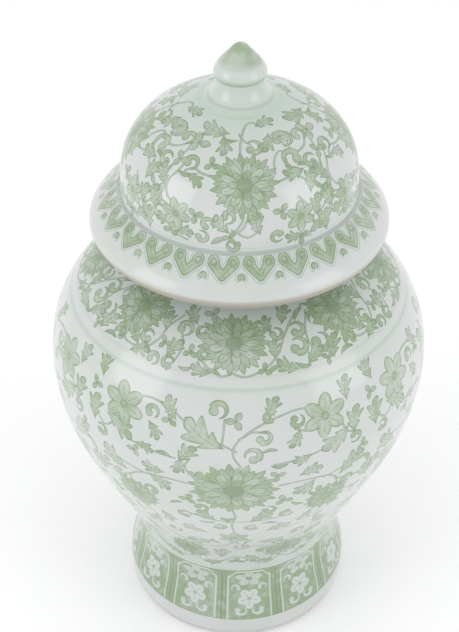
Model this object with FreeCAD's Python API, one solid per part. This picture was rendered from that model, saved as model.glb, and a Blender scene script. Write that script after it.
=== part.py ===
"""Tall lidded ginger jar in glazed porcelain, modelled section by section as a potter builds it.

Frame: millimetres, +Z up, the origin on the jar's axis in the plane that the foot stands on.

The jar is made from five formed sections: foot, floor, belly, shoulder and neck. The lid is made from five
more: brim, dome, locating ring, finial base and bud. Slip joins the sections of each before the firing, so
neighbours meet face to face on flat rings. Only the lid comes off: it rests on the neck and lifts straight up.
"""

import FreeCAD, Part
import math
import os

# Driving sizes: radii
BELLY_RADIUS = 130.9           # widest part of the jar
WAIST_RADIUS = 76.6            # narrowest part, where the belly meets the foot
FOOT_RADIUS = 83.2             # widest part of the flared foot
NECK_RADIUS = 72.0
BRIM_RADIUS = 99.4             # widest part of the lid
DOME_RADIUS = 77.8
FINIAL_SKIRT_RADIUS = 26.4
BUD_RADIUS = 16.9
BUD_BASE_RADIUS = 15.6

# Driving sizes: heights above the standing plane
WAIST_Z = 68.6
BELLY_Z = 221.0
SEAM_Z = 275.0                 # the belly meets the shoulder
NECK_BASE_Z = 307.0
SEAT_Z = 338.0                 # top of the neck, where the lid rests
BRIM_LIP_Z = 322.6
DOME_BASE_Z = 354.4
DOME_TOP_Z = 419.6             # flat pad under the finial
BUD_BASE_Z = 435.0
TOP_Z = 457.4

# Walls
WALL = 6.5                     # jar, measured square to its surface
LID_WALL = 6.0
FLOOR_THICKNESS = 7.0
FLOOR_Z = 10.0                 # underside of the floor, up inside the foot
RING_FOOT_RADIUS = 79.6        # outside of the standing ring
RECESS_RADIUS = 73.0           # inside of the standing ring
LUTING_GAP = 0.2               # slip joint round the edge of the floor

# How the lid fits the neck: a loose fit, as fired porcelain needs
RING_GAP = 2.2
RING_WALL = 5.5
RING_DEPTH = 18.0
SEAT_EDGE = 78.0               # outside of the flat seat under the brim
EDGE_ROUNDING = 1.5            # worn round on every free edge of the clay

# Radii that follow
WAIST_BORE = WAIST_RADIUS - WALL
NECK_BORE = NECK_RADIUS - WALL
RING_RADIUS = NECK_BORE - RING_GAP
RING_BORE = RING_RADIUS - RING_WALL
DOME_BORE = DOME_RADIUS - LID_WALL

TOOL_REACH = 300.0             # half width of a cutting block, larger than the jar's radius
WALL_SAMPLES = 15              # points that carry a wall's inner curve
SAME_POINT = 1e-6


def at(radius, height):
    """A point of a half section, which is drawn in the XZ plane."""
    return FreeCAD.Vector(radius, 0, height)


def flowing(points):
    """A smooth curve through (radius, height) points."""
    curve = Part.BSplineCurve()
    curve.interpolate([at(*p) for p in points])
    return curve


def inner_wall(curve, thickness):
    """The inner face of a wall: the outer curve set in by the thickness, square to itself."""
    low, high = curve.FirstParameter, curve.LastParameter
    points = []
    for i in range(WALL_SAMPLES):
        here = low + (high - low) * i / (WALL_SAMPLES - 1)
        place = curve.value(here)
        along = curve.tangent(here)[0]
        points.append((place.x - along.z * thickness, place.z + along.x * thickness))
    return points


def quarter(start, corner, end):
    """A quarter round from start to end that bulges towards the corner between them."""
    centre = at(start[0] + end[0] - corner[0], start[1] + end[1] - corner[1])
    away = at(*corner) - centre
    radius = (at(*start) - centre).Length
    return Part.Arc(at(*start), centre + away.normalize() * radius, at(*end))


def cap(radius, low, high):
    """A round cap from a ring of the given radius up to the axis, part of a sphere centred on the axis."""
    rise = high - low
    sphere = (radius ** 2 + rise ** 2) / (2 * rise)
    half_way = math.asin(radius / sphere) / 2
    middle = at(sphere * math.sin(half_way), high - sphere + sphere * math.cos(half_way))
    return Part.Arc(at(radius, low), middle, at(0, high))


def closed(first, *rest):
    """A closed wire from a first corner and, in order, further corners and curves."""
    edges = []
    pen = at(*first)
    for part in rest + (first,):
        curve = None if isinstance(part, tuple) else part.toShape()
        goal = at(*part) if curve is None else curve.valueAt(curve.FirstParameter)
        if pen.distanceToPoint(goal) > SAME_POINT:
            edges.append(Part.LineSegment(pen, goal).toShape())
        if curve is not None:
            edges.append(curve)
            goal = curve.valueAt(curve.LastParameter)
        pen = goal
    return Part.Wire(edges)


def turned(*outline):
    """The solid of revolution that a half section sweeps about the jar's axis."""
    face = Part.Face(closed(*outline))
    solid = face.revolve(at(0, 0), at(0, 1), 360)
    if solid.Volume < 0:
        solid.reverse()
    return solid


def between(solid, low, high):
    """The stretch of a solid that lies between two heights."""
    corner = FreeCAD.Vector(-TOOL_REACH, -TOOL_REACH, low)
    block = Part.makeBox(2 * TOOL_REACH, 2 * TOOL_REACH, high - low, corner)
    return solid.common(block).Solids[0]


def foot_skirt():
    """Flared foot with a standing ring. The floor fits up inside it, against a ledge."""
    flare = flowing([
        (RING_FOOT_RADIUS, EDGE_ROUNDING),
        (82.4, 7.5),
        (FOOT_RADIUS, 16.0),
        (81.3, 31.0),
        (77.9, 44.0),
        (76.6, 55.0),
        (WAIST_RADIUS, WAIST_Z),
    ])
    ring_edge = RING_FOOT_RADIUS - EDGE_ROUNDING
    recess_edge = RECESS_RADIUS + EDGE_ROUNDING
    return turned(
        (recess_edge, 0),
        (ring_edge, 0),
        quarter((ring_edge, 0), (RING_FOOT_RADIUS, 0), (RING_FOOT_RADIUS, EDGE_ROUNDING)),
        flare,
        (WAIST_BORE, WAIST_Z),
        (WAIST_BORE, FLOOR_Z + FLOOR_THICKNESS),
        (RECESS_RADIUS, FLOOR_Z + FLOOR_THICKNESS),
        (RECESS_RADIUS, EDGE_ROUNDING),
        quarter((RECESS_RADIUS, EDGE_ROUNDING), (RECESS_RADIUS, 0), (recess_edge, 0)),
    )


def base_disc():
    """Flat floor of the jar, luted into the foot from below."""
    return Part.makeCylinder(RECESS_RADIUS - LUTING_GAP, FLOOR_THICKNESS, at(0, FLOOR_Z))


def vessel_wall():
    """Belly and shoulder as one flowing wall, from the waist to the foot of the neck."""
    outside = flowing([
        (WAIST_RADIUS, WAIST_Z),
        (80.6, 80.0),
        (88.8, 99.0),
        (108.4, 140.0),
        (124.9, 182.0),
        (BELLY_RADIUS, BELLY_Z),
        (125.4, 256.0),
        (107.2, 285.0),
        (90.0, 298.2),
        (NECK_RADIUS, NECK_BASE_Z),
    ])
    inside = inner_wall(outside, WALL)
    return turned(
        (WAIST_BORE, WAIST_Z),
        (WAIST_RADIUS, WAIST_Z),
        outside,
        (NECK_BORE, NECK_BASE_Z),
        flowing(list(reversed([(WAIST_BORE, WAIST_Z)] + inside[1:-1] + [(NECK_BORE, NECK_BASE_Z - WALL)]))),
    )


def lower_body():
    """The bowl of the belly, from the waist up to the seam."""
    return between(vessel_wall(), WAIST_Z, SEAM_Z)


def upper_body():
    """The rounded shoulder that closes the bowl in to the neck."""
    return between(vessel_wall(), SEAM_Z, NECK_BASE_Z)


def neck_collar():
    """Short upright neck. The lid covers it, and its flat rim carries the lid."""
    rim = SEAT_Z - EDGE_ROUNDING
    outer = NECK_RADIUS - EDGE_ROUNDING
    inner = NECK_BORE + EDGE_ROUNDING
    return turned(
        (NECK_BORE, NECK_BASE_Z),
        (NECK_RADIUS, NECK_BASE_Z),
        (NECK_RADIUS, rim),
        quarter((NECK_RADIUS, rim), (NECK_RADIUS, SEAT_Z), (outer, SEAT_Z)),
        (inner, SEAT_Z),
        quarter((inner, SEAT_Z), (NECK_BORE, SEAT_Z), (NECK_BORE, rim)),
    )


def lid_flange():
    """Overhanging rolled brim of the lid, with the flat seat beneath it that rests on the neck."""
    lip = 89.4
    roll = flowing([
        (lip, BRIM_LIP_Z),
        (95.6, 325.8),
        (BRIM_RADIUS, 332.4),
        (94.4, 342.0),
        (84.8, 350.6),
        (79.9, DOME_BASE_Z),
    ])
    underside = flowing([(SEAT_EDGE, SEAT_Z), (84.2, 334.2), (86.2, 326.0), (lip, BRIM_LIP_Z)])
    gallery = flowing([(DOME_BORE, DOME_BASE_Z), (67.8, 347.4), (RING_BORE, SEAT_Z + LID_WALL)])
    return turned(
        (RING_BORE, SEAT_Z),
        underside,
        roll,
        gallery,
    )


def lid_dome():
    """High domed crown of the lid, closed at the top by a flat pad for the finial."""
    outside = flowing([
        (77.2, DOME_BASE_Z),
        (DOME_RADIUS, 363.0),
        (74.2, 384.2),
        (61.2, 402.8),
        (43.2, 413.6),
        (FINIAL_SKIRT_RADIUS, DOME_TOP_Z),
    ])
    inside = inner_wall(outside, LID_WALL)
    crown_z = DOME_TOP_Z - LID_WALL
    return turned(
        (DOME_BORE, DOME_BASE_Z),
        (77.2, DOME_BASE_Z),
        outside,
        (0, DOME_TOP_Z),
        (0, crown_z),
        flowing(list(reversed([(DOME_BORE, DOME_BASE_Z)] + inside[1:-2] + [(20.0, crown_z)]))),
    )


def lid_locating_ring():
    """Ring under the lid that drops into the neck and keeps the lid centred."""
    low = SEAT_Z - RING_DEPTH
    outer = RING_RADIUS - EDGE_ROUNDING
    inner = RING_BORE + EDGE_ROUNDING
    return turned(
        (inner, low),
        (outer, low),
        quarter((outer, low), (RING_RADIUS, low), (RING_RADIUS, low + EDGE_ROUNDING)),
        (RING_RADIUS, SEAT_Z),
        (RING_BORE, SEAT_Z),
        (RING_BORE, low + EDGE_ROUNDING),
        quarter((RING_BORE, low + EDGE_ROUNDING), (RING_BORE, low), (inner, low)),
    )


def finial_base():
    """Low drum under the bud: a hollow skirt that spreads onto the dome, and a slim neck above it."""
    waist = (17.9, 425.8)
    skirt = Part.Arc(at(FINIAL_SKIRT_RADIUS, DOME_TOP_Z), at(20.9, 422.3), at(*waist))
    neck = Part.Arc(at(*waist), at(16.3, 430.2), at(BUD_BASE_RADIUS, BUD_BASE_Z))
    return turned((0, DOME_TOP_Z), skirt, neck, (0, BUD_BASE_Z))


def finial_bud():
    """Pointed bud that the lid is lifted by."""
    side = flowing([
        (BUD_BASE_RADIUS, BUD_BASE_Z),
        (16.6, 436.6),
        (BUD_RADIUS, 438.8),
        (14.5, 444.2),
        (9.4, 450.2),
        (5.6, 454.5),
    ])
    return turned((0, BUD_BASE_Z), side, cap(5.6, 454.5, TOP_Z))


SECTIONS = {
    "foot_skirt": foot_skirt,
    "base_disc": base_disc,
    "lower_body": lower_body,
    "upper_body": upper_body,
    "neck_collar": neck_collar,
    "lid_flange": lid_flange,
    "lid_dome": lid_dome,
    "lid_locating_ring": lid_locating_ring,
    "finial_base": finial_base,
    "finial_bud": finial_bud,
}


os.makedirs("parts", exist_ok=True)
for name, make in SECTIONS.items():
    section = make()
    section.exportStep("parts/" + name + ".step")
    box = section.BoundBox
    print(name, section.ShapeType, section.isValid(), round(section.Volume / 1000, 1), "cm3",
          "radius", round(box.XMax, 2), "z", round(box.ZMin, 2), round(box.ZMax, 2))
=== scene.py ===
"""A lidded ginger jar in white porcelain, painted in pale green under a clear glaze.

Each section is thrown on the outline of its CAD section, and then painted. The painting lies in attributes of
the mesh: each brush mark's own coordinates, in which the material draws that mark.
Sizes on the wall are in millimetres. Angles are in degrees, from the front towards +X. Places in space are in
metres, with +Z up.
"""

import math

import bpy
import numpy as np
from mathutils import Matrix, Vector


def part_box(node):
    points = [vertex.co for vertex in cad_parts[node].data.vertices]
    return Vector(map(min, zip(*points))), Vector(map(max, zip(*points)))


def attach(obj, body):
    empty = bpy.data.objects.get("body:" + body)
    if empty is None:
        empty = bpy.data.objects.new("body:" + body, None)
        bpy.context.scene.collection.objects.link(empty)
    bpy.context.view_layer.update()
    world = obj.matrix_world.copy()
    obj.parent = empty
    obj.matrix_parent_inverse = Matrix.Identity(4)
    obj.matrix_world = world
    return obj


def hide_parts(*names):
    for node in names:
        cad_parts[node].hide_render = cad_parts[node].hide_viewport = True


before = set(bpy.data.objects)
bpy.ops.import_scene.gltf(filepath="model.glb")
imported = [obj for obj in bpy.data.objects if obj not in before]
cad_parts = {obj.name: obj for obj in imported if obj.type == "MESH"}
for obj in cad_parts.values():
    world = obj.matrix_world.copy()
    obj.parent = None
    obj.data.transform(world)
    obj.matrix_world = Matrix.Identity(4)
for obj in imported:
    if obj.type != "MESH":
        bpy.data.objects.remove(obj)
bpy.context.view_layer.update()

MM = 0.001
TAU = 2 * math.pi
COLUMNS = 480                  # faces round a painted section, a multiple of every repeat
PLAIN_COLUMNS = 240            # faces round a ring without painting
FINIAL_COLUMNS = 200
FLOOR_COLUMNS = 160
FINE_ROW = 1.7                 # height of a painted face
BRIM_ROW = 1.4
FINIAL_ROW = 0.7
COARSE_ROW = 5.0               # height of a face inside the jar
GUIDE_STEP = 3.0               # spacing of the CAD points that an outline is drawn through
WELD = 0.02                    # points nearer than this are one point
SMOOTH_ANGLE = 38              # a crease sharper than this stays sharp
AWAY = 9.0                     # a mark's coordinates on the faces that it doesn't reach
REACH = 1.35                   # how far a mark's cell goes, in sizes of the mark
STEM_ROOM = 4.0                # least distance between two stems of the same coat
FLOOR_GAP = 0.2                # slip joint round the edge of the floor
GALLERY_RISE = 6.0             # height of the step inside the brim, above the seat
STEM_REACH = 4.0               # how far a stem's coordinates go on each side of it
STEM_HALF_WIDTH = 0.7
STEM_STEP = 1.0                # length of the straight pieces that a stem is laid in
OUTSIDE_DEPTH = 2.0            # a face this near to the outline is on the outer wall
FOOT_RIDGE = (1.0, 1.0, 2.4)   # ridge at the dome's foot: how far above the join, its rise and half width

WAIST_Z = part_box("lower_body")[0].z / MM
SEAM_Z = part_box("lower_body")[1].z / MM
NECK_BASE_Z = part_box("upper_body")[1].z / MM
DOME_BASE_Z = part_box("lid_dome")[0].z / MM
DOME_TOP_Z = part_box("lid_dome")[1].z / MM
BUD_BASE_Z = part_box("finial_bud")[0].z / MM
TIP_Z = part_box("finial_bud")[1].z / MM


# ---------------------------------------------------------------- outlines, read from the CAD sections

def side_of(node, outer):
    """The outer or inner wall of a CAD section, upwards, as rows of (radius, height)."""
    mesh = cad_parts[node].data
    spots = np.empty(len(mesh.vertices) * 3, np.float32)
    mesh.vertices.foreach_get("co", spots)
    spots = spots.reshape(-1, 3).astype(float) / MM
    corners = np.empty(len(mesh.loops), np.int32)
    mesh.loops.foreach_get("vertex_index", corners)
    first, second, third = (spots[corners[k::3]] for k in range(3))
    normal = np.cross(second - first, third - first)
    middle = first + second + third
    lean = (normal[:, :2] * middle[:, :2]).sum(1)
    lean /= np.maximum(np.linalg.norm(normal, axis=1) * np.hypot(middle[:, 0], middle[:, 1]), 1e-9)
    faces = lean > 0.03 if outer else lean < -0.03
    wall = np.concatenate([first[faces], second[faces], third[faces]])
    heights, at = np.unique(np.round(wall[:, 2], 1), return_inverse=True)
    count = np.bincount(at)
    radii = np.bincount(at, np.hypot(wall[:, 0], wall[:, 1])) / count
    heights = np.bincount(at, wall[:, 2]) / count
    return np.column_stack([radii, heights])


def lengths_along(points):
    """Distance along a chain of points, from its first one."""
    steps = np.linalg.norm(np.diff(points, axis=0), axis=1)
    return np.concatenate([[0.0], np.cumsum(steps)])


def drawn_through(points, spacing):
    """A smooth line through some points, as evenly spaced points."""
    points = np.asarray(points, float)
    along = lengths_along(points)
    slope = np.gradient(points, along, axis=0)
    steps = max(2, round(along[-1] / spacing))
    here = np.linspace(0, along[-1], steps + 1)
    low = np.clip(np.searchsorted(along, here, side="right") - 1, 0, len(along) - 2)
    span = along[low + 1] - along[low]
    t = ((here - along[low]) / span)[:, None]
    span = span[:, None]
    return (
        points[low] * (1 + 2 * t) * (1 - t) ** 2
        + slope[low] * span * t * (1 - t) ** 2
        + points[low + 1] * t ** 2 * (3 - 2 * t)
        + slope[low + 1] * span * t ** 2 * (t - 1)
    )


def guided(points, step=GUIDE_STEP):
    """Some of a chain's points, about a step apart, with both its ends."""
    along = lengths_along(points)
    keep = [0]
    for i in range(1, len(points) - 1):
        if along[i] - along[keep[-1]] >= step and along[-1] - along[i] >= step / 2:
            keep.append(i)
    return points[keep + [len(points) - 1]]


def wall_of(node, outer=True, spacing=FINE_ROW, step=GUIDE_STEP):
    """One wall of a section as a smooth line with evenly spaced points."""
    return drawn_through(guided(side_of(node, outer), step), spacing)


def ridged(wall):
    """The wall with its part of the soft ridge where the dome and the brim were joined."""
    above, swell, half_width = FOOT_RIDGE
    lifted = wall.copy()
    lifted[:, 0] += swell * np.exp(-((wall[:, 1] - DOME_BASE_Z - above) / half_width) ** 2)
    return lifted


# ---------------------------------------------------------------- throwing

def clear_bench():
    """Leaves nothing selected, so that an operator acts on the new piece alone."""
    bpy.ops.object.select_all(action="DESELECT")


def thrown(name, outline, columns=COLUMNS):
    """Draws a half section point by point, spins it about the jar's axis and closes it."""
    clear_bench()
    outline = np.asarray(outline, float) * MM
    bpy.ops.mesh.primitive_plane_add(size=MM, location=(outline[0][0], 0, outline[0][1]))
    piece = bpy.context.object
    piece.name = piece.data.name = name
    bpy.ops.object.transform_apply(location=True, rotation=False, scale=False)
    bpy.ops.object.mode_set(mode="EDIT")
    bpy.ops.mesh.select_all(action="SELECT")
    bpy.ops.mesh.merge(type="CENTER")
    for before, after in zip(outline[:-1], outline[1:]):
        step = (after[0] - before[0], 0, after[1] - before[1])
        bpy.ops.mesh.extrude_region_move(TRANSFORM_OT_translate={"value": step})
    bpy.ops.mesh.select_all(action="SELECT")
    bpy.ops.mesh.spin(steps=columns, angle=TAU, center=(0, 0, 0), axis=(0, 0, 1))
    bpy.ops.mesh.select_all(action="SELECT")
    bpy.ops.mesh.remove_doubles(threshold=WELD * MM)
    bpy.ops.mesh.delete_loose(use_verts=True, use_edges=True)
    bpy.ops.mesh.normals_make_consistent(inside=False)
    bpy.ops.object.mode_set(mode="OBJECT")
    bpy.ops.object.shade_smooth_by_angle(angle=math.radians(SMOOTH_ANGLE))
    return piece


def closed_section(outer, inner):
    """A ring's outline: up its outer wall, over, down its inner wall and back to the start."""
    return np.concatenate([outer, inner[::-1], outer[:1]])


# ---------------------------------------------------------------- the sections

def throw_foot():
    """The flared foot: a hollow ring with a turned standing edge and the ledge that the floor meets."""
    outer = wall_of("foot_skirt")
    inner = side_of("foot_skirt", outer=False)
    floor_radius, ledge_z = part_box("base_disc")[1].x / MM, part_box("base_disc")[1].z / MM
    bore = inner[-1][0]
    recess = floor_radius + FLOOR_GAP
    turned = inner[inner[:, 1] < ledge_z - 1]
    inner = np.concatenate([turned, [(recess, ledge_z), (bore, ledge_z), inner[-1]]])
    return thrown("foot", closed_section(outer, inner)), outer


def throw_floor():
    """The floor: a disc that is very slightly dished above and below, with softened edges."""
    low, high = (corner.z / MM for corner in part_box("base_disc"))
    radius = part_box("base_disc")[1].x / MM
    edge, dish = 0.8, 0.5
    outline = [
        (0, low + dish), (radius * 0.5, low + dish * 0.7), (radius - edge, low), (radius, low + edge),
        (radius, high - 0.05), (radius - 0.05, high), (radius * 0.8, high), (radius * 0.4, high - dish * 0.8),
        (0, high - dish),
    ]
    return thrown("floor", outline, columns=FLOOR_COLUMNS)


def throw_belly():
    """The bowl of the belly, from the waist to the join with the shoulder."""
    outer = wall_of("lower_body")
    inner = wall_of("lower_body", outer=False, spacing=COARSE_ROW, step=COARSE_ROW)
    return thrown("belly", closed_section(outer, inner)), outer


def throw_shoulder():
    """The shoulder, from the join up to the foot of the neck. The last of its bore is straight."""
    outer = wall_of("upper_body")
    inner = side_of("upper_body", outer=False)
    straight = 6.6
    curve = guided(inner[inner[:, 1] < inner[-1][1] - straight], COARSE_ROW)
    inner = np.concatenate([drawn_through(curve, COARSE_ROW), inner[-1:]])
    return thrown("shoulder", closed_section(outer, inner)), outer


def throw_neck():
    """The upright neck, with the worn round of its rim."""
    outer = side_of("neck_collar", outer=True)
    inner = side_of("neck_collar", outer=False)
    return thrown("neck", closed_section(outer, inner), columns=PLAIN_COLUMNS)


def throw_brim():
    """The rolled brim of the lid, with its flat seat and the gallery inside."""
    outer = ridged(wall_of("lid_flange", spacing=BRIM_ROW, step=2.0))
    inner = side_of("lid_flange", outer=False)
    seat_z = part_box("neck_collar")[1].z / MM
    bore = inner[:, 0].min()
    underside = inner[inner[:, 1] < seat_z - 0.05]
    gallery = inner[inner[:, 1] > seat_z + GALLERY_RISE + 0.2]
    lowest = (bore, seat_z + GALLERY_RISE)
    inner = np.concatenate([
        drawn_through(guided(underside, 2.0), 2.0),
        [(underside[-1][0] - 1.5, seat_z), (bore, seat_z), lowest],
        drawn_through(guided(np.concatenate([[lowest], gallery]), 3.0), 3.0)[1:],
    ])
    return thrown("brim", closed_section(outer, inner)), outer


def throw_dome():
    """The dome of the lid. Its crown is closed, inside and out."""
    outer = ridged(wall_of("lid_dome"))
    inner = wall_of("lid_dome", outer=False, spacing=COARSE_ROW, step=COARSE_ROW)
    crown = [(0, outer[-1][1])], [(0, inner[-1][1])]
    outline = np.concatenate([outer, *crown, inner[::-1], outer[:1]])
    return thrown("dome", outline), outer


def throw_locating_ring():
    """The bare ring under the lid, which stands inside the neck."""
    outer = side_of("lid_locating_ring", outer=True)
    inner = side_of("lid_locating_ring", outer=False)
    return thrown("locating_ring", closed_section(outer, inner), columns=PLAIN_COLUMNS)


def throw_finial_base():
    """The low drum under the bud."""
    low, high = (corner.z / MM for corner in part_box("finial_base"))
    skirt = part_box("finial_base")[1].x / MM
    outer = wall_of("finial_base", spacing=FINIAL_ROW, step=0.8)
    outline = np.concatenate([[(0, low), (skirt, low)], outer, [(0, high)]])
    return thrown("finial_drum", outline, columns=FINIAL_COLUMNS)


def throw_bud():
    """The pointed bud, closed at its tip."""
    outer = wall_of("finial_bud", spacing=FINIAL_ROW, step=1.2)
    outer = outer[outer[:, 0] > 0.3]
    outline = np.concatenate([[(0, outer[0][1])], outer, [(0, TIP_Z)]])
    return thrown("finial_bud_piece", outline, columns=FINIAL_COLUMNS)


# ---------------------------------------------------------------- painting: where each mark goes

class Wall:
    """The outer wall of a thrown piece, ready to paint, with one repeat of the pattern laid over it."""

    def __init__(self, piece, outline, repeats, first=0.0):
        mesh = piece.data
        self.mesh = mesh
        self.outline = outline
        self.along = lengths_along(outline)
        self.sector = 360.0 / repeats
        spots = np.empty(len(mesh.vertices) * 3, np.float32)
        mesh.vertices.foreach_get("co", spots)
        spots = spots.reshape(-1, 3).astype(float) / MM
        corners = np.empty(len(mesh.loops), np.int32)
        mesh.loops.foreach_get("vertex_index", corners)
        sizes = np.empty(len(mesh.polygons), np.int32)
        mesh.polygons.foreach_get("loop_total", sizes)
        self.face = np.repeat(np.arange(len(sizes)), sizes)
        spots = spots[corners]
        middle = np.column_stack([np.bincount(self.face, spots[:, k]) / sizes for k in range(3)])
        centre_angle = np.degrees(np.arctan2(middle[:, 0], -middle[:, 1])) - first
        angle = np.degrees(np.arctan2(spots[:, 0], -spots[:, 1])) - first
        turn = self.sector * np.round(centre_angle / self.sector)
        apart = (angle - centre_angle[self.face] + 180) % 360 - 180
        self.angle = centre_angle[self.face] - turn[self.face] + apart
        self.radius = np.hypot(spots[:, 0], spots[:, 1])
        self.height = spots[:, 2]
        self.up = self.rise_to(self.height)
        self.face_angle = centre_angle - turn
        self.face_up = self.rise_to(middle[:, 2])
        self.face_radius = np.hypot(middle[:, 0], middle[:, 1])
        expected = np.interp(middle[:, 2], outline[:, 1], outline[:, 0])
        self.outside = np.abs(self.face_radius - expected) < OUTSIDE_DEPTH

    def rise_to(self, height):
        """Distance up the wall, along its surface, to a height."""
        return np.interp(height, self.outline[:, 1], self.along)

    def keep(self, name, values):
        """Stores three numbers for each face corner as a named attribute."""
        layer = self.mesh.attributes.new(name, "FLOAT_VECTOR", "CORNER")
        layer.data.foreach_set("vector", values.astype(np.float32).ravel())

    def spread(self, name):
        """Lays one panel across each repeat, with -1 to 1 across it, the height and the radius."""
        values = np.full((len(self.face), 3), AWAY)
        inside = self.outside[self.face]
        values[inside] = np.column_stack([self.angle * 2 / self.sector, self.height, self.radius])[inside]
        self.keep(name, values)

    def coats(self, places):
        """Splits some places into two lists, so that a place is clear of the others in its own list."""
        first, second = [], []
        for place in places:
            crowded = False
            for other in first:
                apart = (place[0] - other[0] + self.sector / 2) % self.sector - self.sector / 2
                here = np.interp(place[1], self.outline[:, 1], self.outline[:, 0])
                up = self.rise_to(place[1]) - self.rise_to(other[1])
                crowded = crowded or math.hypot(math.radians(apart) * here, up) < place[2] + other[2]
            (second if crowded else first).append(place)
        return first, second

    def stem_coats(self, paths):
        """Splits some stems into two lists, so that a stem is clear of the others in its own list."""
        first, second, taken = [], [], np.full((1, 2), 1e4)
        for path in paths:
            line = drawn_through([(angle, self.rise_to(height)) for angle, height in path], STEM_STEP * 2)
            apart = (line[:, :1] - taken[:, 0] + self.sector / 2) % self.sector - self.sector / 2
            across = np.radians(apart) * self.outline[:, 0].mean()
            if np.hypot(across, line[:, 1:] - taken[:, 1]).min() < STEM_ROOM:
                second.append(path)
            else:
                first.append(path)
                taken = np.concatenate([taken, line])
        return first, second

    def marks(self, name, places):
        """Lays one kind of brush mark. Each place is (angle, height, size, turn), or ends with a stretch."""
        spots = []
        for place in places:
            for neighbour in (-self.sector, 0, self.sector):
                angle = place[0] + neighbour
                if abs(angle) < self.sector:
                    spots.append((angle, self.rise_to(place[1]), place[2], place[3], (*place, 1.0)[4]))
        values = np.full((len(self.face), 3), AWAY)
        if spots:
            spot = np.array(spots)
            across = np.radians(self.face_angle[:, None] - spot[:, 0]) * self.face_radius[:, None]
            up = self.face_up[:, None] - spot[:, 1]
            reach = np.hypot(across, up) / spot[:, 2]
            nearest = reach.argmin(1)
            close = (reach.min(1) < REACH) & self.outside
            mine = spot[nearest[self.face]]
            across = np.radians(self.angle - mine[:, 0]) * self.radius
            up = self.up - mine[:, 1]
            turn = np.radians(mine[:, 3])
            x = (across * np.cos(turn) + up * np.sin(turn)) / mine[:, 2]
            y = (up * np.cos(turn) - across * np.sin(turn)) / (mine[:, 2] * mine[:, 4])
            inside = close[self.face]
            values[inside] = np.column_stack([x, y, mine[:, 2]])[inside]
        self.keep(name, values)

    def vines(self, name, paths):
        """Lays stems along smooth lines through (angle, height) points."""
        starts, ends, last = [], [], []
        for path in paths:
            points = np.array([(angle, self.rise_to(height)) for angle, height in path], float)
            for neighbour in (-self.sector, 0, self.sector):
                moved = points + (neighbour, 0)
                if np.abs(moved[:, 0]).min() < self.sector * 0.6:
                    line = drawn_through(moved, STEM_STEP)
                    starts.append(line[:-1])
                    ends.append(line[1:])
                    last.append(np.arange(len(line) - 1) == len(line) - 2)
        values = np.full((len(self.face), 3), AWAY)
        if not starts:
            self.keep(name, values)
            return
        start, end, last = np.concatenate(starts), np.concatenate(ends), np.concatenate(last)
        near = np.full(len(self.face_up), -1)
        rows = np.flatnonzero(self.outside)
        for block in np.array_split(rows, max(1, len(rows) // 2000)):
            across = np.radians(self.face_angle[block, None] - (start + end)[:, 0] / 2)
            across *= self.face_radius[block, None]
            up = self.face_up[block, None] - (start + end)[:, 1] / 2
            away = np.hypot(across, up)
            close = away.min(1) < STEM_REACH
            near[block[close]] = away.argmin(1)[close]
        inside = near[self.face] >= 0
        mine = near[self.face][inside]
        scale = np.radians(1) * self.radius[inside]
        run = (end - start)[mine] * np.column_stack([scale, np.ones_like(scale)])
        length = np.linalg.norm(run, axis=1)
        run /= length[:, None]
        across = (self.angle[inside] - start[mine][:, 0]) * scale
        up = self.up[inside] - start[mine][:, 1]
        side = across * run[:, 1] - up * run[:, 0]
        forward = across * run[:, 0] + up * run[:, 1] - length
        beyond = np.where(last[mine], np.maximum(forward, 0), 0)
        values[inside] = np.column_stack([side, beyond, np.full(len(side), STEM_HALF_WIDTH)])
        self.keep(name, values)


# ---------------------------------------------------------------- painting: the lists of marks

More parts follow.
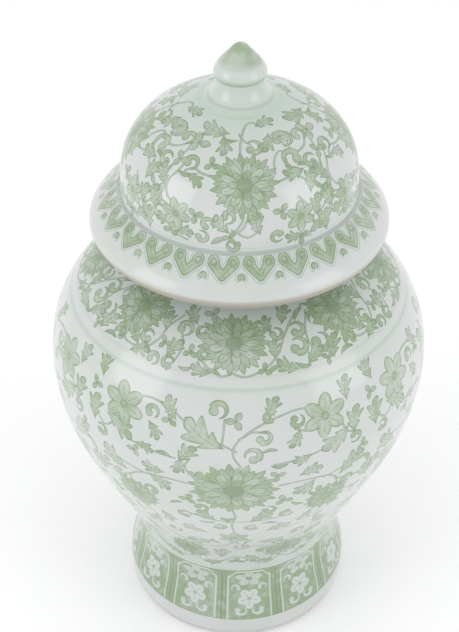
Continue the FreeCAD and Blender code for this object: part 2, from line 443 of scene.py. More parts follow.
# Each place is (angle, height, size, turn), and may end with a stretch. A negative one mirrors the mark.
BELLY_MARKS = {
    "lotus": [
        (-1, 201, 31, 0, 0.86), (-33, 174, 17, 0), (29, 177, 17, 0), (-22, 97, 16, 0), (22.5, 99, 16, 0),
    ],
    "flower": [(-35.5, 253.5, 16, 12), (26.2, 253.5, 16, -8), (-1, 131, 11, 0), (44.5, 142, 11, 15)],
    "leaf": [
        (-9.4, 248.5, 17, 143), (10.8, 265, 8.5, 65), (16.4, 243, 8, -118), (29, 235, 13, 212),
        (18.6, 226.5, 7.5, 195), (36.6, 243, 11, 78), (35, 266, 9, 78), (44.6, 270, 9, 95),
        (-19.6, 262, 9, 115), (-25, 243, 8, -60), (-36.5, 235, 13, -30), (-27.6, 227, 7.5, -15),
        (44.6, 240, 11.5, 85), (-14.2, 230.5, 10, 52), (-17.4, 220, 8, -105), (-25, 212, 9, 170),
        (-23.6, 198, 10, -40), (-38.5, 206, 13, 140), (21.7, 212, 9, 10), (20, 198, 10, -140),
        (35.8, 206, 13, 40), (-9.5, 168, 10, 130), (8, 165, 10, 40), (23, 157, 9, -110),
        (-25, 152, 9, -70), (-44, 190, 10, 65), (43, 188, 10, 110), (-44, 165, 9, -80),
        (-15, 142, 10, 150), (15, 145, 10, 30), (30, 140, 10, -60), (-32, 140, 10, 240),
        (-15, 120, 11, 200), (14, 118, 11, -20), (33, 119, 10, 60), (-36, 118, 10, 120),
        (-6, 98, 10, 80), (6, 88, 9, -70), (40, 96, 10, 100), (-41, 84, 9, -60), (-12, 80, 8, 200),
        (14, 80, 8, -20), (34, 80, 8, 30), (-33, 78, 8, 150),
    ],
    "curl": [
        (-5.6, 264.5, 7.5, 0), (7.6, 246.5, 6.5, 35, -1), (4.4, 233.5, 7.5, 110, -1),
        (-25.6, 256, 6, 20), (17.6, 255, 6, -20, -1), (9.2, 259.5, 5, 100), (-17, 164.5, 6.5, 80),
        (16, 168, 6, -80, -1), (-11, 178, 6, -30), (10, 177, 6, 30, -1), (35, 190, 6.5, 60),
        (-38, 190, 6.5, -60, -1), (36, 229, 6, -60), (-43, 225, 6, 60, -1), (24, 190, 6, 200),
        (-27, 186, 6.5, 150, -1), (5, 150, 6, 120), (-6, 151, 6, 60, -1), (24, 130, 6, 30),
        (-24, 131, 6, -30, -1), (2, 112, 6.5, 200), (-43, 102, 6.5, -40), (33, 105, 6, 130, -1),
        (12, 103, 6, 40),
    ],
    "trefoil": [
        (-0.6, 258, 7, 60), (-20, 254, 6, 200), (-12, 214, 6, 40), (11.5, 214, 6, 140),
        (-31, 222, 6, -60), (43, 256, 6, 120), (14, 187, 7, -130), (-15, 187, 7, -50), (39, 219, 6, 90),
        (40, 172, 7, 20), (-3, 163, 6, -90), (-33, 160, 6, -60), (33, 163, 6, -120), (0, 84, 7, 90),
        (44, 120, 7, 90),
    ],
    "blade": [
        (9.2, 235.5, 5.5, 5), (12, 224, 6, 182), (-21.6, 226.5, 6, -5), (41, 202, 8, -60),
        (-43, 209, 8, 110), (-19, 178, 6, 30), (19, 180, 6, 150), (-10, 158, 6, 190), (11, 155, 6, -10),
        (30, 150, 6, 60), (-36, 150, 6, 110), (5, 122, 6, 60), (-8, 122, 6, 120),
    ],
}
BELLY_VINES = [
    [(0.5, 226), (-1, 232), (-1.2, 239), (1.4, 247.5), (6, 254.5), (10.5, 258.5), (19, 262), (26, 258)],
    [(1.2, 247), (4.6, 250.8), (8.2, 249.8)],
    [(-1.4, 238), (-4.6, 242), (-9, 247)],
    [(-4.4, 243), (-4, 252), (-3.8, 259)],
    [(-16.4, 256), (-20.5, 261.5), (-27, 264), (-34, 259)],
    [(-36, 246), (-38, 238), (-42, 231), (-44.8, 236)],
    [(28, 250), (31.4, 244), (33.6, 236), (37, 233)],
    [(25, 246), (20, 247), (16.6, 250)],
    [(24.5, 229), (17.5, 226), (10.2, 224.5)],
    [(-31.5, 229), (-25, 227), (-18, 226)],
    [(13, 204.5), (20, 205), (27, 203), (31, 195), (30, 186)],
    [(-14, 204.5), (-21, 205), (-28, 203), (-33.5, 195), (-33.5, 184)],
    [(27, 203), (33, 206), (38, 210)],
    [(-28, 203), (-34, 205), (-41, 209)],
    [(31, 195), (38, 190), (44.8, 192), (51, 188), (56.5, 195)],
    [(-13, 213), (-15, 220), (-13.6, 228)],
    [(-1.4, 179), (-0.6, 168), (-1.6, 157), (-1, 141)],
    [(-1, 160), (-8, 162), (-16, 168)],
    [(-1, 160), (7, 161), (15, 164)],
    [(29, 163), (27, 152), (22, 144), (14, 141)],
    [(-33, 160), (-30, 150), (-24, 143), (-15, 139)],
    [(-1, 121), (-8, 112), (-16, 110), (-22, 113)],
    [(-1, 121), (8, 112), (16, 110), (22.5, 114)],
    [(22.5, 114), (30, 124), (37, 132), (44.5, 132), (52, 132), (60, 124), (68, 113)],
    [(22.5, 84), (29, 79), (36, 84), (45, 90), (54, 84), (61, 79), (68, 82)],
    [(-22, 82), (-14, 76), (-6, 84), (0, 92), (7, 84), (14, 76), (22.5, 84)],
]
SHOULDER_MARKS = {
    "lotus": [(-1.7, 296, 24, 0, 0.88), (45, 300.5, 21, 0, 0.95)],
    "leaf": [
        (-23.3, 290.5, 8.5, 60), (-36, 284.5, 8, 20), (-12.6, 284.6, 7.5, 165), (14, 293, 7, 80),
        (17.4, 286, 8.5, 150), (28, 286.5, 8.5, 30), (36.5, 288, 9, 60), (-40, 291, 8, 130),
        (21.6, 304, 8, 60), (-20, 304, 8, 120), (-30, 300, 8, 100), (13, 302, 7, 100),
    ],
    "curl": [
        (-22, 299, 6.5, 0), (-30, 284, 5.5, 0), (-24.4, 284.5, 5.5, 90), (-46.6, 289, 6, 0),
        (15.6, 298.5, 5.5, 20, -1), (23, 292.5, 7.5, 40, -1), (24.6, 298.6, 6.5, 60, -1),
        (32, 291.5, 8, 0, -1), (-12.6, 290.5, 5, 40), (43, 287, 6, 180, -1), (-35.6, 292, 6, 100),
        (34, 300, 6, 120, -1), (-14.6, 299, 5.5, 120),
    ],
    "trefoil": [
        (-17.4, 291, 5.5, 90), (32, 284, 5, 20), (9, 285, 5, 200), (-28, 292, 5, 120), (-12, 305, 6, 60),
    ],
    "blade": [
        (-8.6, 283.2, 5.5, -10), (12.4, 284, 6, 25), (22.6, 285, 6, 160), (-33, 288, 5.5, 140),
        (40, 283.6, 6, 10), (-18, 284.4, 5, 190), (28, 303, 6, 40),
    ],
}
SHOULDER_VINES = [
    [(-1.6, 283.6), (2, 282.2), (7.2, 284.2), (13.8, 290), (18.3, 297), (23.6, 302), (32, 305.5)],
    [(31.4, 302.5), (27.6, 297), (28.4, 290), (33.4, 286)],
    [(43.4, 291.6), (47.6, 286), (54, 286.4), (59, 292), (60.6, 298), (65, 303)],
    [(-23.6, 283), (-22, 287), (-21, 293), (-24, 299)],
    [(-2.6, 283.4), (-5, 282.2), (-8.6, 284), (-12.6, 288)],
]
DOME_MARKS = {
    "lotus": [(2.6, 397, 22, 0, 0.95)],
    "flower": [(-30.5, 376, 10.5, 20), (29.5, 375, 10.5, 0)],
    "leaf": [
        (-23, 416.4, 10.5, 168), (-13, 412, 8, -80), (9, 375, 8, 100), (-25.6, 364.6, 7, 10),
        (-41.6, 395.4, 8.5, 115), (40, 393, 8.5, 60), (-24.6, 396.6, 7, -30), (39.6, 379, 8, 80),
        (-42.4, 381, 9, 100), (26, 363.4, 7, 170), (20, 412.6, 8, -120), (31, 400.4, 8, 175),
        (-7.6, 375, 8, 130), (44.8, 366, 9, 90), (27.6, 417.6, 7.5, 10), (-37, 371, 7, 200),
        (38, 363, 7, 20),
    ],
    "curl": [
        (33.6, 412.4, 7.5, -20), (33, 405.6, 7.5, 170, -1), (36.6, 412.4, 6.5, 20, -1),
        (-57, 405, 7.5, 180, -1), (10.4, 411.6, 6.5, 50, -1), (-5, 379.4, 5.5, -20),
        (7.4, 379.4, 5.5, 20, -1), (-14.4, 374, 5.5, 40), (-2.6, 360.6, 5.5, 180), (-29, 404, 6, 0),
        (-40.6, 411.6, 6, 0), (50, 374, 6, 100), (17.6, 365, 5.5, -120, -1), (38.6, 370.6, 5.5, 200),
        (-17, 365, 5.5, 30, -1), (44, 402, 6, 100),
    ],
    "trefoil": [
        (-31, 411.4, 8, 0), (-19.6, 411, 6, 120), (-37, 404, 6, -120), (-16.6, 405, 5.5, -20),
        (-33, 364, 6, 200), (29.6, 360.6, 6, -90), (20, 381, 6, 170), (-20.6, 378, 6, 20),
        (47.6, 385, 7, 60), (-4, 366, 5, 60),
    ],
    "blade": [
        (-6.6, 414, 4, 175), (39, 400.6, 5.5, -20), (-30.6, 399.4, 5.5, 180), (-9, 362.6, 6, 30),
        (-47, 390.6, 6, 130),
    ],
}
DOME_VINES = [
    [(2, 385), (1.4, 377), (-1.6, 371), (-6, 365), (-11, 361)],
    [(4.4, 384), (3.6, 378), (0.6, 371), (-1.6, 369)],
    [(0.2, 410), (1, 414), (7, 418), (14, 418.4), (22, 417)],
    [(1.6, 414.4), (4, 413.4), (8, 412.6)],
    [(20, 402), (22, 406.6), (27, 409), (32, 407.6)],
    [(-14, 400), (-21, 400.6), (-27, 402), (-31, 400)],
    [(17, 396), (24, 397.6), (31, 398), (36, 394.6)],
    [(-36, 408), (-38.4, 403), (-41, 398)],
    [(31, 385), (35, 379), (41, 374.6), (44.6, 378), (50, 381), (56, 379)],
    [(58, 405), (55, 399), (51.6, 393), (53, 385.6), (58, 381)],
    [(-30.6, 367), (-29, 362), (-24, 360)],
    [(29.4, 366), (30, 361), (35, 359.6)],
    [(-1.6, 370), (4, 366.4), (8.6, 370)],
    [(-34, 412.6), (-45, 407.6), (-52, 407), (-56, 411)],
]
PETALLED_REPEATS = 4
HEART_REPEATS = 24
HEART_FIRST = 8.5              # angle of one of the brim's hearts
HEART_PLACE = (0, 349.0, 10.0, 0, 1.2)
PANEL_LOW_Z = 20.0             # the panels of the foot stand between these heights
PANEL_HIGH_Z = 67.0
PANEL_REPEATS = 12
PANEL_FIRST = 7.0              # angle of the middle of one of the foot's panels


def paint_scrolls(wall, marks, vines):
    """Lays out the flower scroll: its stems and the marks on them. Stems, curls and leaves that crowd go in a
    second coat, and a crowded mark of any other kind is left out.
    """
    for name, coat in zip(("vine", "vine_2"), wall.stem_coats(vines)):
        wall.vines(name, coat)
    for mark in SCROLL_MARKS:
        first, second = wall.coats(marks.get(mark, []))
        wall.marks(mark, first)
        if mark in CROWDED_MARKS:
            wall.marks(mark + "_2", second)


# ---------------------------------------------------------------- painting: how a mark is drawn

SCROLL_MARKS = ("blade", "curl", "trefoil", "leaf", "flower", "lotus")
CROWDED_MARKS = ("curl", "leaf")
SCROLL_LAYERS = ("vine_2", "vine", "blade", "curl_2", "curl", "trefoil", "leaf_2", "leaf", "flower", "lotus")
LINE = 0.42                    # width of a painted outline
SOFT = 0.18                    # how far an edge bleeds under the glaze


class Amount:
    """A number that varies over the surface. A sum of amounts becomes Math nodes."""

    def __init__(self, socket):
        self.socket = socket

    def __add__(self, other):
        return worked("ADD", self, other)

    def __radd__(self, other):
        return worked("ADD", other, self)

    def __sub__(self, other):
        return worked("SUBTRACT", self, other)

    def __rsub__(self, other):
        return worked("SUBTRACT", other, self)

    def __mul__(self, other):
        return worked("MULTIPLY", self, other)

    def __rmul__(self, other):
        return worked("MULTIPLY", other, self)

    def __truediv__(self, other):
        return worked("DIVIDE", self, other)

    def __pow__(self, other):
        return worked("POWER", self, other)

    def __abs__(self):
        return worked("ABSOLUTE", self)


def feed(slot, term):
    """Links an amount into a slot, or sets a plain value on it."""
    if isinstance(term, Amount):
        term.socket.id_data.links.new(term.socket, slot)
    else:
        slot.default_value = term


def worked(operation, *terms):
    """A Math node on some terms, at least one of them an amount."""
    tree = next(term.socket.id_data for term in terms if isinstance(term, Amount))
    node = tree.nodes.new("ShaderNodeMath")
    node.operation = operation
    for slot, term in zip(node.inputs, terms):
        feed(slot, term)
    return Amount(node.outputs["Value"])


def rise(amount, low, high):
    """0 up to the first end and 1 past the second, and smooth between them."""
    node = amount.socket.id_data.nodes.new("ShaderNodeMapRange")
    node.interpolation_type = "SMOOTHSTEP"
    feed(node.inputs["Value"], amount)
    feed(node.inputs["From Min"], low)
    feed(node.inputs["From Max"], high)
    return Amount(node.outputs["Result"])


def least(one, other):
    """The smaller of two amounts."""
    return worked("MINIMUM", one, other)


def most(one, other):
    """The larger of two amounts."""
    return worked("MAXIMUM", one, other)


def fraction(amount):
    """What is left of an amount past its last whole number."""
    return worked("FRACT", amount)


def distance(x, y):
    """How far a spot is from a mark's middle."""
    return worked("SQRT", x * x + y * y)


def turns(x, y):
    """The direction of a spot from a mark's middle, in turns."""
    return worked("ARCTAN2", y, x) / TAU


def band(amount, middle, half_width, soft):
    """1 on a strip about a middle value, and 0 away from it."""
    return rise(abs(amount - middle), half_width + soft, half_width)


def brushed(depth, shade=0.62):
    """Wash, outline and cover of a shape, from how many millimetres inside it a spot is."""
    cover = rise(depth, -SOFT, SOFT)
    line = cover * rise(depth, LINE + SOFT, LINE)
    wash = cover * (shade + 0.3 * rise(depth, 2.4, 0.4))
    return wash, line, cover


def veined(shape, vein, strength):
    """A shape with a fine line along its midrib. The strength is where on the shape the line shows."""
    wash, line, cover = shape
    return wash, most(line, cover * rise(vein, 0.45, 0.15) * strength), cover


def over(top, under):
    """One shape laid on another."""
    bare = 1 - top[2]
    return tuple(upper + lower * bare for upper, lower in zip(top, under))


def petal_ring(x, y, size, count, base, tip, point, turn, shade):
    """A ring of pointed petals that are joined below their base."""
    reach = distance(x, y)
    across = abs(fraction(turns(x, y) * count + turn) - 0.5) * 2
    half_width = reach * size * (math.pi / count)
    along = least(most((reach - base) / (tip - base), 0), 1)
    side = ((1 - along) ** (1 / point) - across) * half_width
    petal = brushed(least(side, (tip - reach) * size), shade)
    return veined(petal, across * half_width, 0.6 * rise(along, 0.85, 0.6))


def oval_petals(x, y, size, count, middle, long, wide, point, turn):
    """Separate petals round a centre. A point of 0.5 makes them oval, and more makes them pointed."""
    reach = distance(x, y)
    angle = (fraction(turns(x, y) * count + turn) - 0.5) * (TAU / count)
    along = (reach * worked("COSINE", angle) - middle) / long
    across = abs(reach * worked("SINE", angle))
    half_width = most(1 - along * along, 0) ** point * wide - most(abs(along) - 1, 0)
    petal = brushed((half_width - across) * size * 0.9)
    return veined(petal, across * size, 0.7 * rise(along, 0.6, 0.2))


def disc(x, y, size, radius, shade):
    """A round spot in a mark."""
    return brushed((radius - distance(x, y)) * size, shade)


# Each ring of a lotus is (petals, base, tip, point, turn, shade), from the outside in.
LOTUS_RINGS = [
    (15, 0.6, 1.0, 1.2, 0.5, 0.82),
    (15, 0.52, 0.86, 1.6, 0.0, 0.64),
    (9, 0.34, 0.7, 2.0, 0.5, 0.55),
    (7, 0.2, 0.46, 2.2, 0.0, 0.85),
]


def draw_lotus(x, y, size):
    """An open lotus seen from the front: flame-tipped outer petals, rounder inner ones and a seed head."""
    outermost, *inner_rings = LOTUS_RINGS
    bloom = petal_ring(x, y, size, *outermost)
    for ring in inner_rings:
        bloom = over(petal_ring(x, y, size, *ring), bloom)
    wash, line, cover = disc(x, y, size, 0.22, 0.95)
    seeds = band(fraction((x + y) * 10), 0.5, 0.1, 0.15) + band(fraction((x - y) * 10), 0.5, 0.1, 0.15)
    wash, line, cover = over((wash, most(line, cover * (0.5 + 0.3 * seeds)), cover), bloom)
    return wash, most(line, cover * 0.3 * rise(distance(x, y), 0.5, 0.2)), cover


def draw_flower(x, y, size):
    """A six-petalled flower."""
    bloom = oval_petals(x, y, size, 6, 0.56, 0.44, 0.3, 0.6, 0.0)
    return over(disc(x, y, size, 0.15, 0.9), bloom)


def draw_trefoil(x, y, size):
    """A sprig of three small leaves."""
    return over(disc(x, y, size, 0.12, 0.8), oval_petals(x, y, size, 3, 0.5, 0.5, 0.34, 0.8, 0.5))


def draw_leaf(x, y, size):
    """A bent leaf with pointed lobes. Its stalk is at x = -1, and its tip at x = 1."""
    side = abs(y - 0.2 * (1 - x * x))
    root = x - side * 0.6
    lobe = fraction((root + 1) * 1.5)
    spread = 0.72 * most(1 - root, 0) ** 1.5 * most(1 + root, 0) ** 1.45 - most(abs(root) - 1, 0)
    leaf = brushed((spread * (0.34 + 0.9 * lobe ** 0.9 * (1 - lobe ** 7)) - side) * size * 0.6, 0.62)
    rib = least(side, abs(lobe - 0.62) * 0.55 + 0.01)
    return veined(leaf, rib * size, 0.75 * rise(x, 0.95, 0.6))


def draw_curl(x, y, size):
    """A scroll that thickens through three quarters of a turn and ends in a round bud."""
    along = fraction(turns(x, y) + 0.25) / 0.75
    stroke = 0.36 * along ** 0.6 - abs(distance(x, y) - (0.72 - 0.18 * along)) - 8 * most(along - 0.92, 0)
    out = distance(x + 0.44, y + 0.12)
    wash, line, cover = brushed(most(stroke, 0.42 - out) * size, 0.7)
    return wash, most(line, cover * 0.45 * band(out, 0.15, 0.02, 0.06)), cover


def draw_blade(x, y, size):
    """A slim pointed leaf with a slight bend."""
    full = most(1 - x * x, 0)
    off = abs(y - 0.3 * full)
    blade = brushed((0.27 * full ** 0.9 - off - most(abs(x) - 1, 0)) * size, 0.7)
    return veined(blade, off * size, 0.6)


def draw_vine(side, beyond, half_width):
    """A stem: two fine lines with a paler wash between them."""
    depth = half_width - distance(side, beyond)
    cover = rise(depth, -SOFT, SOFT)
    return cover * 0.45, cover * (0.25 + 0.75 * rise(depth, 0.5, 0.3)), cover


def draw_heart(x, y, size):
    """A cloud-collar heart of the brim: two arms that rise from a point into coils, inside a fine contour."""
    side = abs(x)
    along = least(most((side * 0.64 + (y + 0.42) * 0.7) / 0.9, 0), 1)
    spine = distance(side - 0.64 * along, y + 0.42 - 0.7 * along)
    out = distance(side - 0.6, y - 0.32)
    heart = most(0.25 + 0.09 * along - spine, 0.4 - out)
    bud = 0.2 - distance(side - 1.14, y + 0.42)
    wash, line, cover = brushed(heart * size, 0.75)
    line = most(line, cover * most(band(out, 0.17, 0.03, 0.05) * 0.8, rise(spine, 0.08, 0.03) * 0.5))
    wash, line, cover = over((wash, line, cover), brushed(bud * size, 0.75))
    contour = band(heart, -0.11, 0.015, 0.03) * rise(y, 0.72, 0.6)
    drop = band(bud, -0.1, 0.015, 0.03) * rise(y, -0.1, -0.3)
    return wash, most(line, most(contour, drop) * 0.6 * (1 - cover)), cover


def draw_panel(x, z, radius):
    """A panel of the foot: white flowers and scrolls left bare on green, between upright bars."""
    side = abs(x)
    across = x * radius * (math.pi / PANEL_REPEATS)
    out = abs(across)
    ground = rise(z, PANEL_LOW_Z - 0.4, PANEL_LOW_Z + 0.4) * rise(z, PANEL_HIGH_Z + 0.6, PANEL_HIGH_Z - 0.4)
    low, high = z - 39.0, z - 58.0
    flower = oval_petals(across / 9.2, low / 9.2, 9.2, 5, 0.56, 0.44, 0.42, 0.5, 0.75)
    flower_top = oval_petals(across / 10.5, high / 8.0, 8.5, 5, 0.6, 0.4, 0.34, 0.6, 0.25)
    curls = draw_curl((out - 6.4) / -6.0, (z - 28.4) / -5.4, 5.6)
    scrolls = draw_curl((out - 10.0) / 4.6, (z - 48.4) / 4.6, 4.6)
    reserve = most(most(flower[2], flower_top[2] * 0.8), most(curls[2], scrolls[2]))
    inside = rise(side, 0.74, 0.72)
    arch = z - 64.0 + 5.0 * rise(side, 0.45, 0.75)
    inside = inside * rise(arch, 0.4, -0.4)
    jamb = band(side, 0.775, 0.022, 0.012) * rise(arch, 1.5, 0.5)
    lintel = band(arch, 1.1, 0.6, 0.4) * rise(side, 0.79, 0.77)
    reserve = most(reserve * inside, most(jamb, lintel))
    fine = most(flower[1], most(curls[1], scrolls[1])) * inside
    bars = most(band(side, 0.86, 0.012, 0.01), band(side, 1.0, 0.03, 0.02))
    edge = band(z, PANEL_LOW_Z + 0.4, 0.3, 0.3) + band(z, PANEL_HIGH_Z - 0.6, 0.3, 0.3)
    wash = ground * (1 - reserve * 0.92) * (0.92 + 0.08 * rise(side, 0.8, 0.84))
    line = ground * most(most(bars * 0.8, fine * 0.8), most(edge * 0.7, 0.3 * (1 - reserve)))
    return wash, line, ground


def motif(name, draw):
    """A node group that draws one mark from its own coordinates."""
    tree = bpy.data.node_groups.new(name, "ShaderNodeTree")
    tree.interface.new_socket("Place", in_out="INPUT", socket_type="NodeSocketVector")
    for label in ("Wash", "Line", "Cover"):
        tree.interface.new_socket(label, in_out="OUTPUT", socket_type="NodeSocketFloat")
    place = tree.nodes.new("ShaderNodeSeparateXYZ")
    tree.links.new(tree.nodes.new("NodeGroupInput").outputs["Place"], place.inputs["Vector"])
    drawn = draw(*(Amount(place.outputs[axis]) for axis in "XYZ"))
    given = tree.nodes.new("NodeGroupOutput")
    for label, amount in zip(("Wash", "Line", "Cover"), drawn):
        feed(given.inputs[label], amount)
    return tree


def placed(tree, group, **inputs):
    """A node group placed in a tree, with some of its inputs filled."""
    node = tree.nodes.new("ShaderNodeGroup")
    node.node_tree = group
    for label, term in inputs.items():
        feed(node.inputs[label], term)
    return node


def attribute(tree, name):
    """A mark's coordinates, from the mesh."""
    node = tree.nodes.new("ShaderNodeAttribute")
    node.attribute_name = name
    return Amount(node.outputs["Vector"])


def flower_scroll():
    """The whole scroll as one group: every mark laid over the stems, the lotus on top."""
    draws = {"vine": draw_vine, "blade": draw_blade, "curl": draw_curl, "trefoil": draw_trefoil,
             "leaf": draw_leaf, "flower": draw_flower, "lotus": draw_lotus}
    groups = {mark: motif(mark, draw) for mark, draw in draws.items()}
    tree = bpy.data.node_groups.new("flower scroll", "ShaderNodeTree")
    for layer in SCROLL_LAYERS:
        tree.interface.new_socket(layer, in_out="INPUT", socket_type="NodeSocketVector")
    for label in ("Wash", "Line"):
        tree.interface.new_socket(label, in_out="OUTPUT", socket_type="NodeSocketFloat")
    spots = tree.nodes.new("NodeGroupInput")
    painted = None
    for layer in SCROLL_LAYERS:
        node = placed(tree, groups[layer.removesuffix("_2")], Place=Amount(spots.outputs[layer]))
        shape = tuple(Amount(node.outputs[label]) for label in ("Wash", "Line", "Cover"))
        painted = over(shape, painted) if painted else shape
    given = tree.nodes.new("NodeGroupOutput")
    feed(given.inputs["Wash"], painted[0])
    feed(given.inputs["Line"], painted[1])
    return tree


# ---------------------------------------------------------------- glazes and bodies

def tint(red, green, blue):
    """A colour from its 0 to 255 screen values."""
    shares = (value / 255 for value in (red, green, blue))
    return (*(v / 12.92 if v <= 0.04045 else ((v + 0.055) / 1.055) ** 2.4 for v in shares), 1)


LIP_Z = 333.0                  # below this and outside the radius, the brim's glaze is thin
LIP_RADIUS = 95.5
FOOTRING_Z = 1.7               # the standing edge is wiped clean up to here
PORCELAIN = tint(196, 199, 198)
CLOUDED_PORCELAIN = tint(191, 197, 192)
WASH_GREEN = tint(146, 164, 133)
LINE_GREEN = tint(102, 125, 94)
POOLED_GREEN = tint(183, 197, 186)
THIN_GLAZE = tint(160, 153, 138)
BISCUIT = tint(206, 200, 189)
WARM_BISCUIT = tint(208, 198, 184)
PALE_TABLE = tint(251, 251, 252)


def noise(tree, where, scale, detail=2.0):
    """A seamless noise on the object's own coordinates, from 0 to 1."""
    node = tree.nodes.new("ShaderNodeTexNoise")
    node.inputs["Scale"].default_value = scale
    node.inputs["Detail"].default_value = detail
    feed(node.inputs["Vector"], where)
    return Amount(node.outputs["Fac"])


def mixed(tree, base, top, share):
    """One colour mixed into another."""
    node = tree.nodes.new("ShaderNodeMix")
    node.data_type = "RGBA"
    feed(node.inputs["Factor"], share)
    feed(node.inputs["A"], base)
    feed(node.inputs["B"], top)
    return Amount(node.outputs["Result"])


def glaze_group():
    """Painted porcelain under clear glaze, which every glazed piece wears."""
    tree = bpy.data.node_groups.new("glaze", "ShaderNodeTree")
    tree.interface.new_socket("Where", in_out="INPUT", socket_type="NodeSocketVector")
    for label in ("Wash", "Line", "Pooling", "Thinning"):
        tree.interface.new_socket(label, in_out="INPUT", socket_type="NodeSocketFloat")
    tree.interface.new_socket("Colour", in_out="OUTPUT", socket_type="NodeSocketColor")
    tree.interface.new_socket("Roughness", in_out="OUTPUT", socket_type="NodeSocketFloat")
    tree.interface.new_socket("Normal", in_out="OUTPUT", socket_type="NodeSocketVector")
    taken = tree.nodes.new("NodeGroupInput")
    where, wash, line, pooling, thinning = (Amount(socket) for socket in list(taken.outputs)[:5])
    cloud = noise(tree, where, 22.0, 3.0)
    brush = noise(tree, where, 160.0, 3.0)
    grain = noise(tree, where, 900.0, 2.0)
    body = mixed(tree, PORCELAIN, CLOUDED_PORCELAIN, rise(cloud, 0.35, 0.7))
    body = mixed(tree, body, POOLED_GREEN, pooling)
    body = mixed(tree, body, THIN_GLAZE, thinning)
    watery = wash * (0.64 + 0.62 * rise(brush, 0.3, 0.7)) * (0.7 + 0.6 * rise(cloud, 0.3, 0.7))
    painted = mixed(tree, body, WASH_GREEN, least(watery, 1))
    painted = mixed(tree, painted, LINE_GREEN, line * (0.4 + 0.3 * grain + 0.3 * brush))
    height = cloud + brush * 0.04
    bump = tree.nodes.new("ShaderNodeBump")
    bump.inputs["Strength"].default_value = 0.25
    bump.inputs["Distance"].default_value = 0.0006
    feed(bump.inputs["Height"], height)
    given = tree.nodes.new("NodeGroupOutput")
    feed(given.inputs["Colour"], painted)
    feed(given.inputs["Roughness"], 0.17 + 0.08 * grain + 0.25 * thinning)
    feed(given.inputs["Normal"], Amount(bump.outputs["Normal"]))
    return tree


def coated(name):
    """An empty glossy material: its tree, the shader, and the object's own coordinates."""
    material = bpy.data.materials.new(name)
    material.use_nodes = True
    tree = material.node_tree
    shader = tree.nodes["Principled BSDF"]
    where = tree.nodes.new("ShaderNodeTexCoord").outputs["Object"]
    return material, tree, shader, Amount(where)


def heights(tree, where):
    """Distance from the jar's axis and height, in millimetres."""
    node = tree.nodes.new("ShaderNodeSeparateXYZ")
    feed(node.inputs["Vector"], where)
    x, y, z = (Amount(node.outputs[axis]) for axis in "XYZ")
    return distance(x, y) / MM, z / MM


def glazed(name, paint):
    """A glazed material. paint(tree, radius, z) gives its wash, line, pooling and thinning."""
    material, tree, shader, where = coated(name)
    radius, z = heights(tree, where)
    wash, line, pooling, thinning = paint(tree, radius, z)
    glaze = placed(tree, GLAZE, Where=where, Wash=wash, Line=line, Pooling=pooling, Thinning=thinning)
    tree.links.new(glaze.outputs["Colour"], shader.inputs["Base Color"])
    tree.links.new(glaze.outputs["Roughness"], shader.inputs["Roughness"])
    tree.links.new(glaze.outputs["Normal"], shader.inputs["Normal"])
    shader.inputs["IOR"].default_value = 1.5
    shader.inputs["Coat Weight"].default_value = 0.4
    shader.inputs["Coat Roughness"].default_value = 0.1
    return material


def scroll_paint(tree, radius, z):
    """The flower scroll, the fine rings at the joins, and glaze that has pooled in the grooves."""
    scroll = placed(tree, SCROLL, **{layer: attribute(tree, layer) for layer in SCROLL_LAYERS})
    rings = band(z, SEAM_Z + 0.6, 0.4, 1.2) * 0.22 + band(z, SEAM_Z + 7, 0.3, 1.0) * 0.14
    rings = rings + band(z, DOME_BASE_Z + 1.6, 0.3, 0.6) * 0.3 + band(z, DOME_BASE_Z + 3.8, 0.2, 0.6) * 0.2
    pooling = band(z, WAIST_Z, 0.6, 3.5) * 0.8 + band(z, SEAM_Z, 0.4, 3.0) * 0.4
    pooling = pooling + band(z, DOME_BASE_Z, 0.5, 4.0) * 0.2 + rise(z, DOME_TOP_Z - 9, DOME_TOP_Z) * 0.75
    pooling = least(pooling + band(z, NECK_BASE_Z, 0.6, 2.0) * 0.6, 1)
    wash = Amount(scroll.outputs["Wash"])
    line = most(Amount(scroll.outputs["Line"]), rings)
    return wash, line, pooling, 0.0


def brim_paint(tree, radius, z):
    """Hearts on the slope of the brim, and a worn edge where the glaze drew back."""
    heart = placed(tree, motif("heart", draw_heart), Place=attribute(tree, "heart"))
    wash = Amount(heart.outputs["Wash"])
    line = Amount(heart.outputs["Line"])
    pooling = rise(z, DOME_BASE_Z - 2.5, DOME_BASE_Z) * 0.2
    lip = rise(z, LIP_Z + 1.6, LIP_Z - 1.6) * rise(radius, LIP_RADIUS - 1.5, LIP_RADIUS + 1.5)
    return wash, line, pooling, lip * 0.85


def foot_paint(tree, radius, z):
    """Panels round the foot, above a plain white hem."""
    panel = placed(tree, motif("panel", draw_panel), Place=attribute(tree, "panel"))
    wash = Amount(panel.outputs["Wash"])
    line = Amount(panel.outputs["Line"])
    pooling = rise(z, WAIST_Z - 3.0, WAIST_Z) * 0.8
    footring = rise(z, FOOTRING_Z + 0.5, FOOTRING_Z - 0.5)
    return wash, line, pooling, footring * 0.8


def bud_paint(tree, radius, z):
    """A green wash that runs down from the tip, and a ring at the bud's foot."""
    wash = rise(z, TIP_Z - 13.0, TIP_Z - 9.5) * 0.6 + rise(z, TIP_Z - 9.0, TIP_Z - 2.0) * 0.4
    wash = wash + band(z, BUD_BASE_Z + 1.4, 0.8, 2.4) * 0.35
    line = band(z, BUD_BASE_Z + 1.0, 0.4, 0.8) * 0.25 + band(z, TIP_Z - 12.0, 0.3, 1.2) * 0.15
    pooling = rise(z, BUD_BASE_Z + 8.0, BUD_BASE_Z + 2.0) * 0.7 + 0.2
    return wash, line, pooling, 0.0


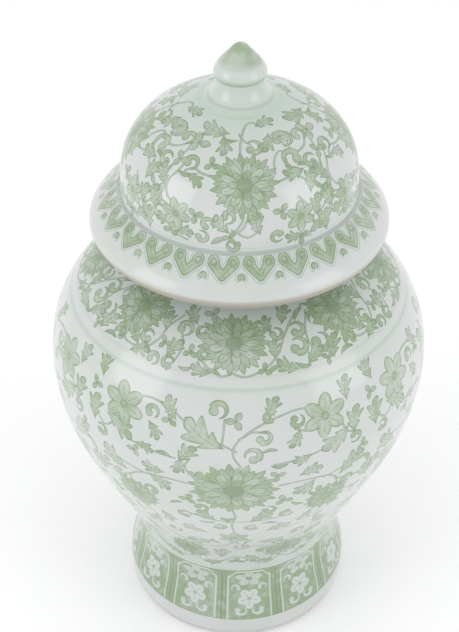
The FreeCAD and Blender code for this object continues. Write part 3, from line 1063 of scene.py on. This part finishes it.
def plain_paint(tree, radius, z):
    """No painting: only glaze that has gathered where the pieces meet."""
    pooling = band(z, DOME_TOP_Z, 0.5, 4.0) * 0.6 + band(z, BUD_BASE_Z, 0.5, 4.0) * 0.6
    pooling = pooling + rise(z, DOME_TOP_Z - 1, DOME_TOP_Z + 1) * 0.4
    ring = band(z, DOME_TOP_Z + 3.0, 0.3, 0.8) * 0.3
    return 0.0, ring, least(pooling, 1), 0.0


def biscuit():
    """Unglazed porcelain: matt, faintly warm and slightly gritty."""
    material, tree, shader, where = coated("biscuit")
    grit = noise(tree, where, 1400.0, 3.0)
    cloud = noise(tree, where, 40.0, 2.0)
    colour = mixed(tree, BISCUIT, WARM_BISCUIT, rise(cloud, 0.4, 0.75) * 0.6)
    bump = tree.nodes.new("ShaderNodeBump")
    bump.inputs["Strength"].default_value = 0.4
    bump.inputs["Distance"].default_value = 0.0002
    feed(bump.inputs["Height"], grit)
    tree.links.new(colour.socket, shader.inputs["Base Color"])
    feed(shader.inputs["Roughness"], 0.75 + 0.15 * grit)
    tree.links.new(bump.outputs["Normal"], shader.inputs["Normal"])
    return material


GLAZE = glaze_group()
SCROLL = flower_scroll()


# ---------------------------------------------------------------- the jar, piece by piece

scroll_glaze = glazed("scroll_glaze", scroll_paint)
white_glaze = glazed("white_glaze", plain_paint)

foot, foot_wall = throw_foot()
Wall(foot, foot_wall, PANEL_REPEATS, PANEL_FIRST).spread("panel")
belly, belly_wall = throw_belly()
paint_scrolls(Wall(belly, belly_wall, PETALLED_REPEATS), BELLY_MARKS, BELLY_VINES)
shoulder, shoulder_wall = throw_shoulder()
paint_scrolls(Wall(shoulder, shoulder_wall, PETALLED_REPEATS), SHOULDER_MARKS, SHOULDER_VINES)
brim, brim_wall = throw_brim()
Wall(brim, brim_wall, HEART_REPEATS, HEART_FIRST).marks("heart", [HEART_PLACE])
dome, dome_wall = throw_dome()
paint_scrolls(Wall(dome, dome_wall, PETALLED_REPEATS), DOME_MARKS, DOME_VINES)

PIECES = [
    (foot, glazed("foot_glaze", foot_paint), "jar", "foot_skirt", "painted_glaze"),
    (throw_floor(), white_glaze, "jar", "base_disc", "white_glaze"),
    (belly, scroll_glaze, "jar", "lower_body", "painted_glaze"),
    (shoulder, scroll_glaze, "jar", "upper_body", "painted_glaze"),
    (throw_neck(), white_glaze, "jar", "neck_collar", "white_glaze"),
    (brim, glazed("brim_glaze", brim_paint), "lid", "lid_flange", "painted_glaze"),
    (dome, scroll_glaze, "lid", "lid_dome", "painted_glaze"),
    (throw_locating_ring(), biscuit(), "lid", "lid_locating_ring", "biscuit"),
    (throw_finial_base(), white_glaze, "lid", "finial_base", "white_glaze"),
    (throw_bud(), glazed("bud_glaze", bud_paint), "lid", "finial_bud", "painted_glaze"),
]
for piece, material, body, node, slot in PIECES:
    piece.data.materials.clear()
    piece.data.materials.append(material)
    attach(piece, body)
    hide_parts(node)


# ---------------------------------------------------------------- table, light and camera

CAMERA_PLACE = Vector((0, -0.8161, 0.8861))
CAMERA_AIM = Vector((-0.0063, 0, 0.2446))
CAMERA_ROLL = 0.156
FOCAL_LENGTH = 84.37
BOX_SIZE = (0.7, 0.8)


def lay_table():
    """A plain pale table top."""
    clear_bench()
    bpy.ops.mesh.primitive_plane_add(size=12.0, location=(0, 0, 0))
    table = bpy.context.object
    table.name = "table_top"
    material = bpy.data.materials.new("pale_table")
    material.use_nodes = True
    shader = material.node_tree.nodes["Principled BSDF"]
    shader.inputs["Base Color"].default_value = PALE_TABLE
    shader.inputs["Roughness"].default_value = 0.9
    table.data.materials.append(material)


def softbox(name, place, power):
    """A large soft light that faces the belly of the jar."""
    target = Vector((0, 0, 0.28))
    lamp = bpy.data.lights.new(name, "AREA")
    lamp.shape = "RECTANGLE"
    lamp.size, lamp.size_y = BOX_SIZE
    lamp.energy = power
    box = bpy.data.objects.new(name, lamp)
    bpy.context.scene.collection.objects.link(box)
    box.location = place
    box.rotation_euler = (target - Vector(place)).to_track_quat("-Z", "Y").to_euler()


def white_room(strength):
    """Even white light from all round."""
    world = bpy.data.worlds.new("white_room")
    world.use_nodes = True
    world.node_tree.nodes["Background"].inputs["Color"].default_value = (1, 1, 1, 1)
    world.node_tree.nodes["Background"].inputs["Strength"].default_value = strength
    bpy.context.scene.world = world


def stand_camera():
    """The camera in front of the jar, well above it and looking down."""
    lens = bpy.data.cameras.new("camera")
    lens.lens = FOCAL_LENGTH
    lens.sensor_width = 36.0
    camera = bpy.data.objects.new("camera", lens)
    bpy.context.scene.collection.objects.link(camera)
    look = (CAMERA_AIM - CAMERA_PLACE).to_track_quat("-Z", "Y")
    roll = Matrix.Rotation(math.radians(CAMERA_ROLL), 3, "Z")
    camera.location = CAMERA_PLACE
    camera.rotation_euler = (look.to_matrix() @ roll).to_euler()
    bpy.context.scene.camera = camera


lay_table()
white_room(1.0)
softbox("left_box", (-1.09, -0.63, 0.66), 3.3)
softbox("right_box", (1.09, -0.63, 0.66), 2.6)
stand_camera()
bpy.context.scene.view_settings.view_transform = "Standard"
